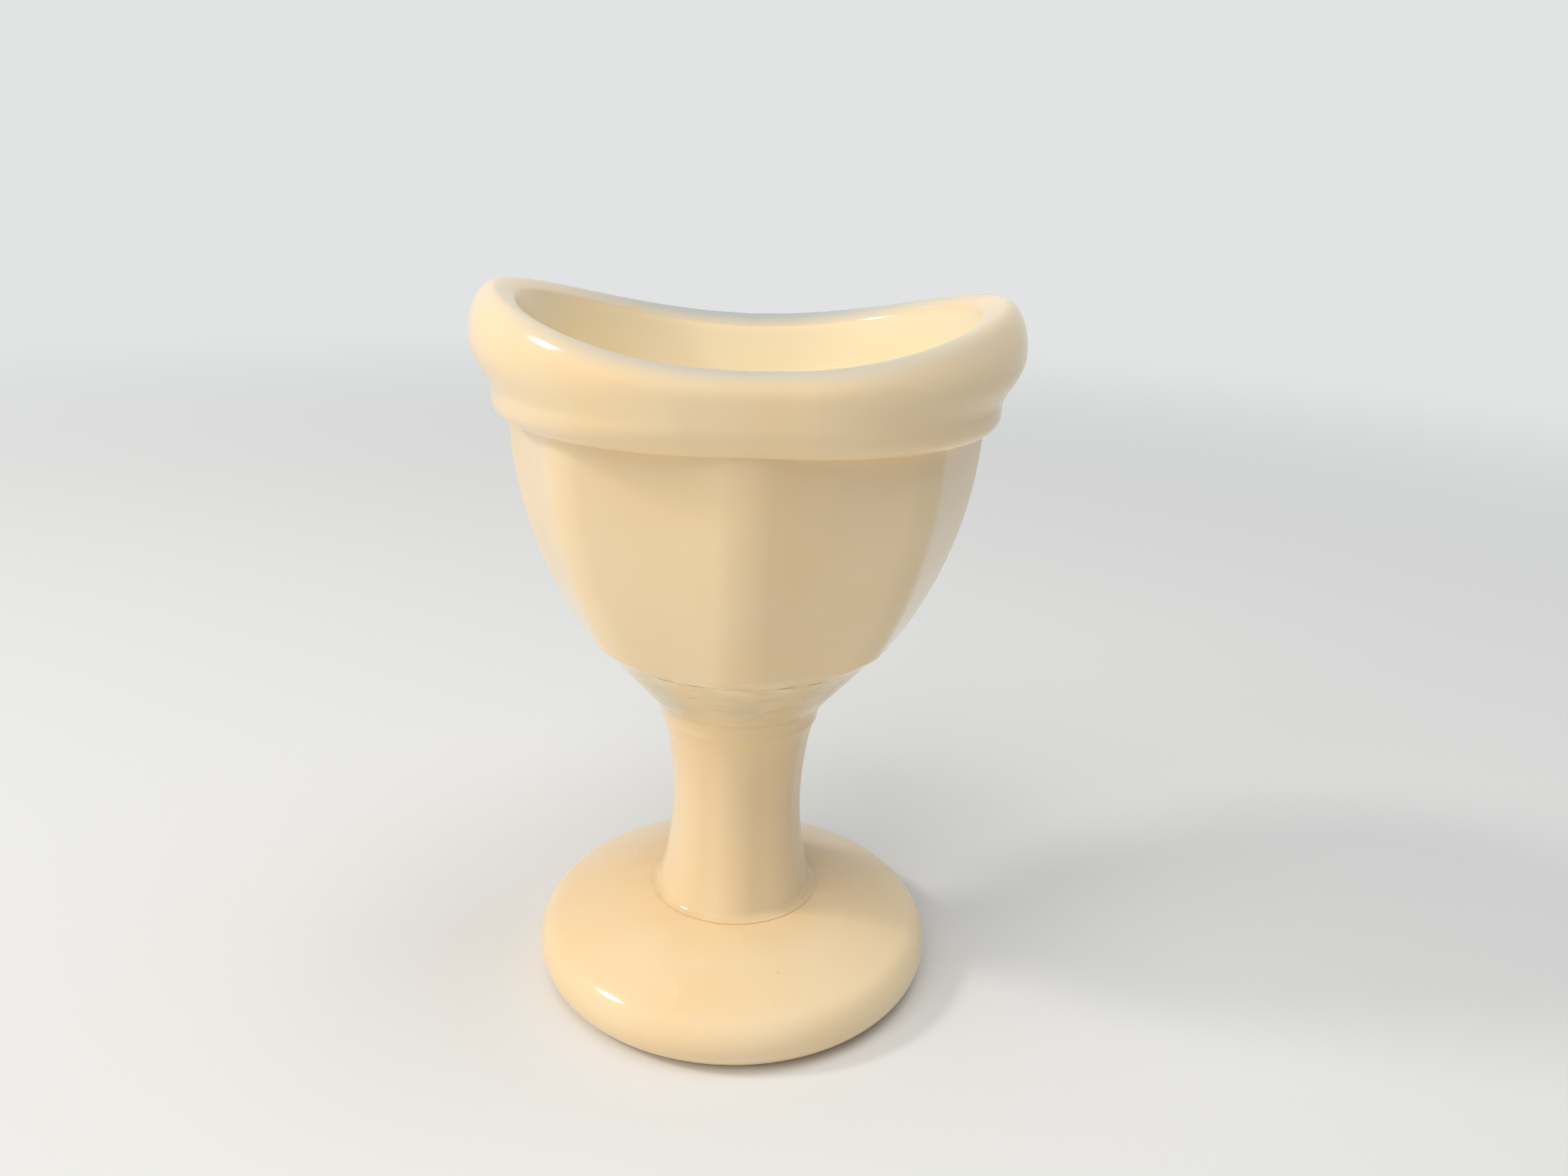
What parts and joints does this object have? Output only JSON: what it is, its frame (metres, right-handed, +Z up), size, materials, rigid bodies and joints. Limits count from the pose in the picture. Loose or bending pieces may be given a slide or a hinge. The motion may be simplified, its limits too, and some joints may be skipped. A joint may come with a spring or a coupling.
{
  "type": "eye bath",
  "caption": "Pedestal eye bath of opaque white pressed glass: saddle shaped rolled rim over a panelled oval cup, waisted stem and round domed foot.",
  "frame": {"origin": "middle of the foot's flat underside", "axes": "+Z up along the stem, +X along the long axis of the oval rim to one horn, +Y to the back of the cup"},
  "size_m": [0.0442, 0.0364, 0.0616],
  "materials": {
    "opal_glass": "gloss"
  },
  "bodies": {
    "root": {"foot": "opal_glass", "stem": "opal_glass", "neck": "opal_glass", "bowl": "opal_glass", "collar": "opal_glass", "rim": "opal_glass"}
  },
  "joints": []
}
